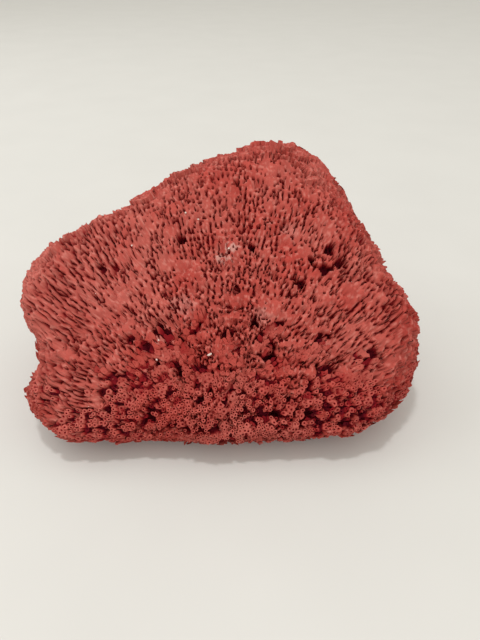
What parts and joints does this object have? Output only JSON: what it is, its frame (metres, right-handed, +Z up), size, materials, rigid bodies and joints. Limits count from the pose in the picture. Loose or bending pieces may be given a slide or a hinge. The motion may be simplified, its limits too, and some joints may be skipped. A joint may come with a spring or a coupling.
{
  "type": "organ pipe coral",
  "caption": "Dry organ pipe coral colony: a lobed lump of fine upright red tubes tied by thin level plates, cut flat at the foot and resting on it.",
  "frame": {"origin": "on the ground, under the middle of the colony's bounding box", "axes": "+X across the colony to the viewer's right, its longest way; +Y from the worn face in front to the back; +Z up from the flat cut foot"},
  "size_m": [0.2, 0.1532, 0.1155],
  "materials": {
    "coral_skeleton": "matte"
  },
  "bodies": {
    "root": {"coral_colony": "coral_skeleton"}
  },
  "joints": []
}
